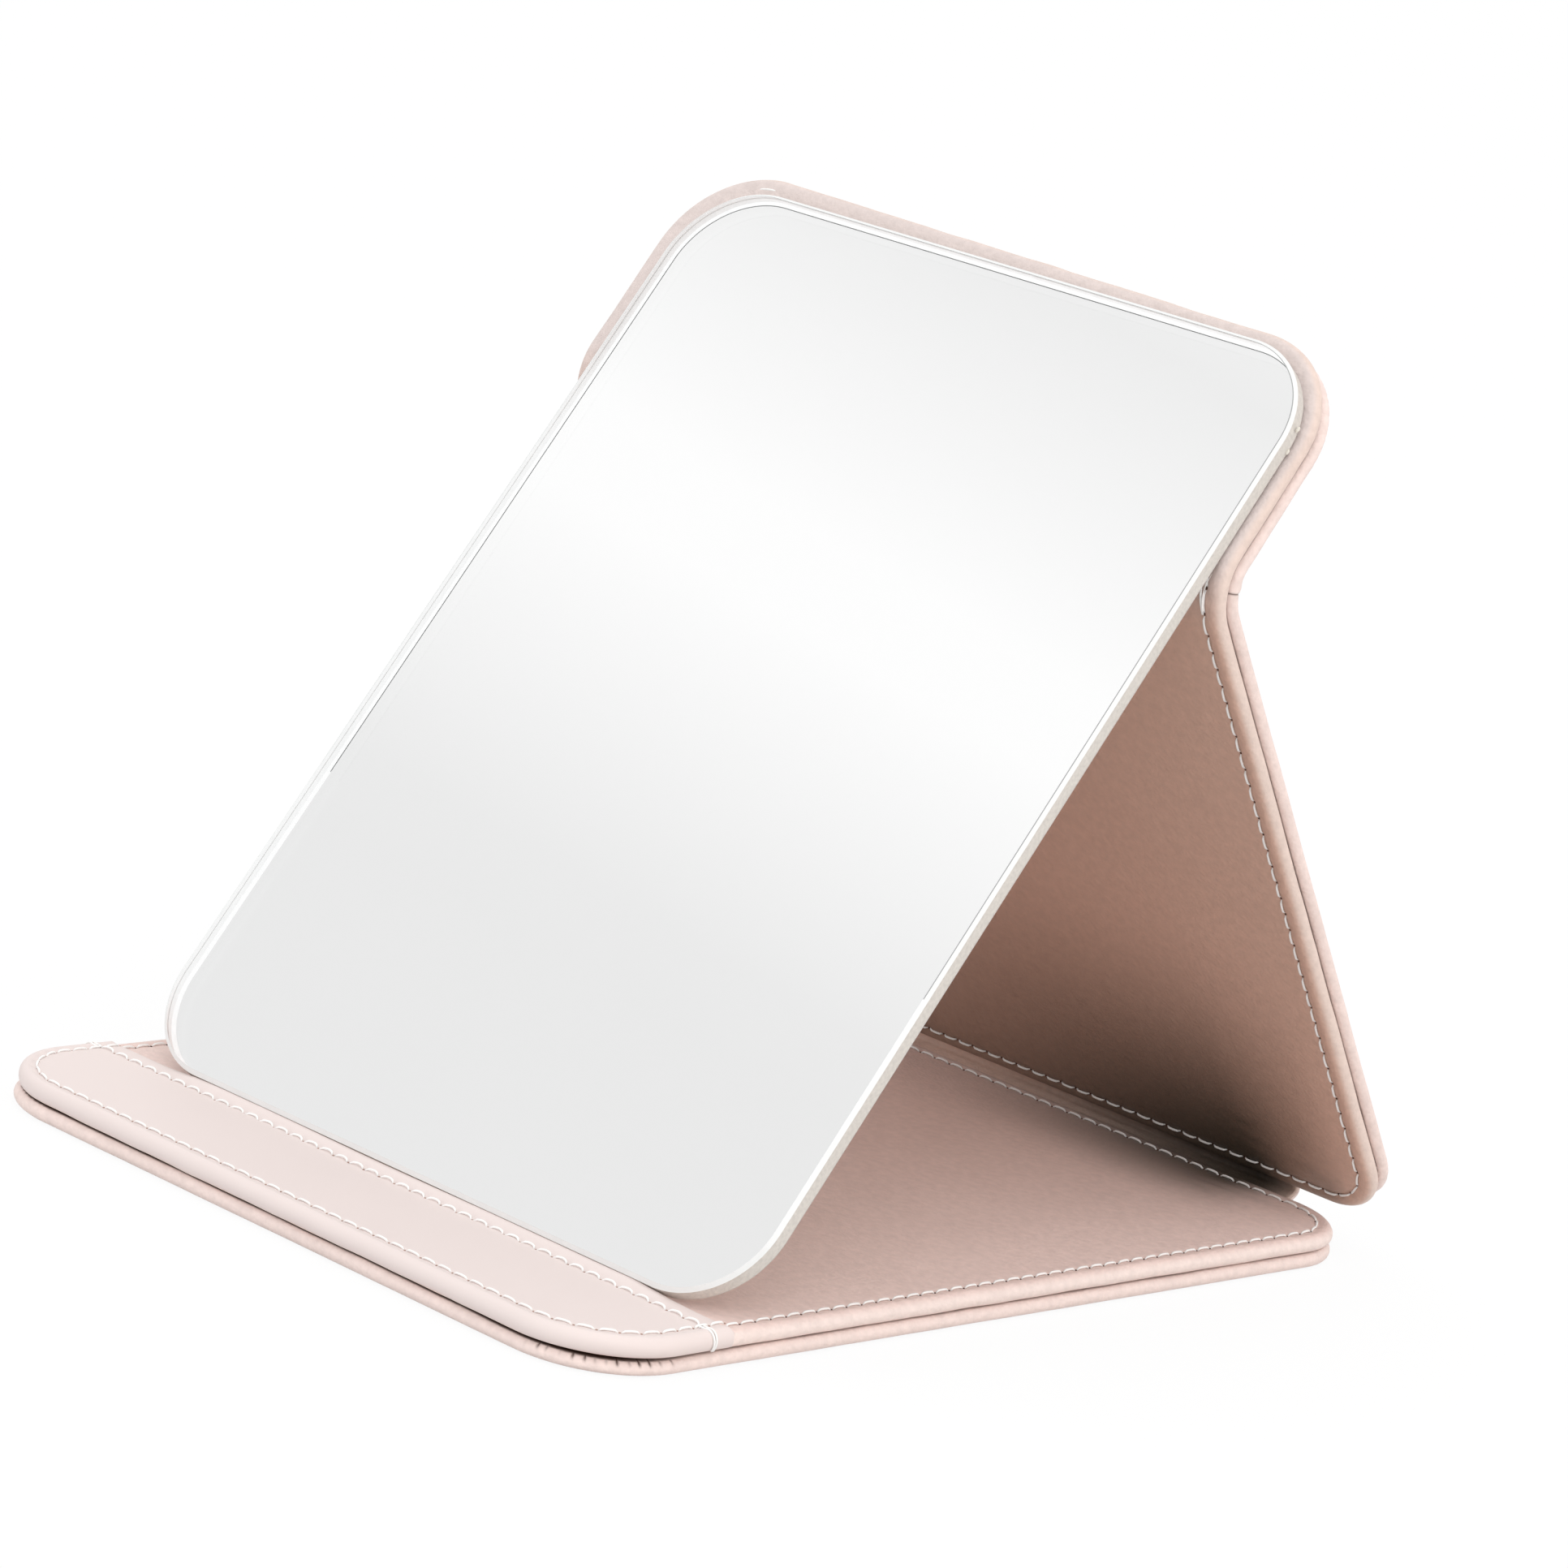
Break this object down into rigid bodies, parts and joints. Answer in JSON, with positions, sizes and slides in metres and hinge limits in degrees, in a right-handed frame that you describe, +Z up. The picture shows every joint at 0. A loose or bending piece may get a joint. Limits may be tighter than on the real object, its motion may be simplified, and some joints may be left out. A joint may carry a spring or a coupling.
{
  "type": "folding table mirror",
  "caption": "Rectangular table mirror in a stitched leather case that folds like a book and stands as an easel, its glass leaning behind a raised front strip.",
  "frame": {"origin": "middle of the base's underside, on the surface it rests on", "axes": "+Z up, +X across the case to the viewer's right, +Y from the front strip to the spine"},
  "size_m": [0.15, 0.2052, 0.1634],
  "materials": {
    "case_leather": "matte fine grain, pale pink",
    "strip_leather": "matte fine grain, paler pink",
    "board": "raw grey card",
    "thread": "twisted white thread",
    "mirror_glass": "silvered, edge ground and bevelled",
    "backing_film": "matte grey film",
    "adhesive": "double sided foam sheet"
  },
  "bodies": {
    "base": {"base_core_sheet": "board", "base_edge_stitching": "thread", "base_inner_board": "board", "base_inner_skin": "case_leather", "base_outer_board": "board", "base_outer_skin": "case_leather", "front_strip": "strip_leather", "spine_inner_band": "case_leather", "spine_outer_band": "case_leather", "strip_edge_stitching": "thread", "strip_seam_stitching": "thread"},
    "rear_panel": {"crease_inner_band": "case_leather", "crease_outer_band": "case_leather", "rear_core_sheet": "board", "rear_edge_stitching": "thread", "rear_inner_board": "board", "rear_inner_skin": "case_leather", "rear_outer_board": "board", "rear_outer_skin": "case_leather"},
    "mirror_panel": {"mirror_adhesive": "adhesive", "mirror_backing": "backing_film", "mirror_glass": "mirror_glass", "upper_core_sheet": "board", "upper_edge_stitching": "thread", "upper_inner_board": "board", "upper_inner_skin": "case_leather", "upper_outer_board": "board", "upper_outer_skin": "case_leather"}
  },
  "joints": [
    {"name": "spine_fold", "type": "hinge", "parent": "base", "child": "rear_panel", "pos_m": [0, 0.10595, 0.00421], "axis": [-1, 0, 0], "range_deg": [0, 126.4], "deforming": ["spine_outer_band", "spine_inner_band"]},
    {"name": "crease_fold", "type": "hinge", "parent": "rear_panel", "child": "mirror_panel", "pos_m": [0, 0.02093, 0.1236], "axis": [1, 0, 0], "range_deg": [0, 71.26], "deforming": ["crease_outer_band", "crease_inner_band"]}
  ],
  "couplings": [
    {"joint": "crease_fold", "follows": "spine_fold", "ratio": 0.5637}
  ]
}
